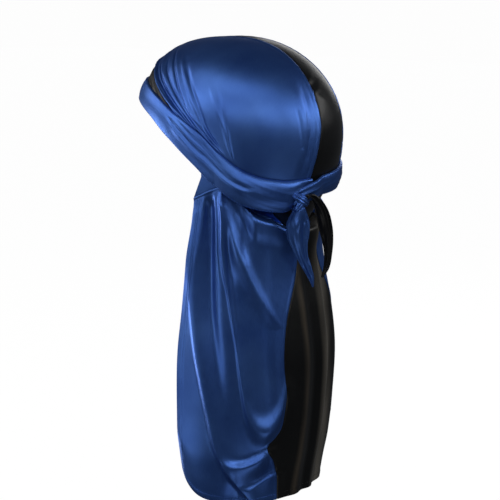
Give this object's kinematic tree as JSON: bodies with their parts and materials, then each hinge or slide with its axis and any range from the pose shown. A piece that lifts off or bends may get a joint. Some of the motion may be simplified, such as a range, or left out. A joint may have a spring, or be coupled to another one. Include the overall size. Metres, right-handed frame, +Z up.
{
  "type": "durag",
  "caption": "Satin durag in its worn form: gathered crown, brow band with straps knotted at the nape, and a long tail over the neck.",
  "frame": {"origin": "inside of the crown's top, where a head carries the durag", "axes": "+Z up, the wearer looks along -Y, the wearer's left is +X"},
  "size_m": [0.1919, 0.2251, 0.4547],
  "materials": {
    "blue_satin": "satin weave, soft sheen",
    "black_satin": "satin weave, soft sheen"
  },
  "bodies": {
    "root": {"forehead_band": "blue_satin", "left_strap": "blue_satin", "right_strap": "blue_satin", "knot": "blue_satin", "left_tie_end": "blue_satin", "right_tie_end": "black_satin", "left_crown_panel": "blue_satin", "centre_crown_strip": "black_satin", "right_crown_panel": "blue_satin", "left_tail_panel": "blue_satin", "centre_tail_panel": "black_satin", "right_tail_panel": "blue_satin"}
  },
  "joints": []
}
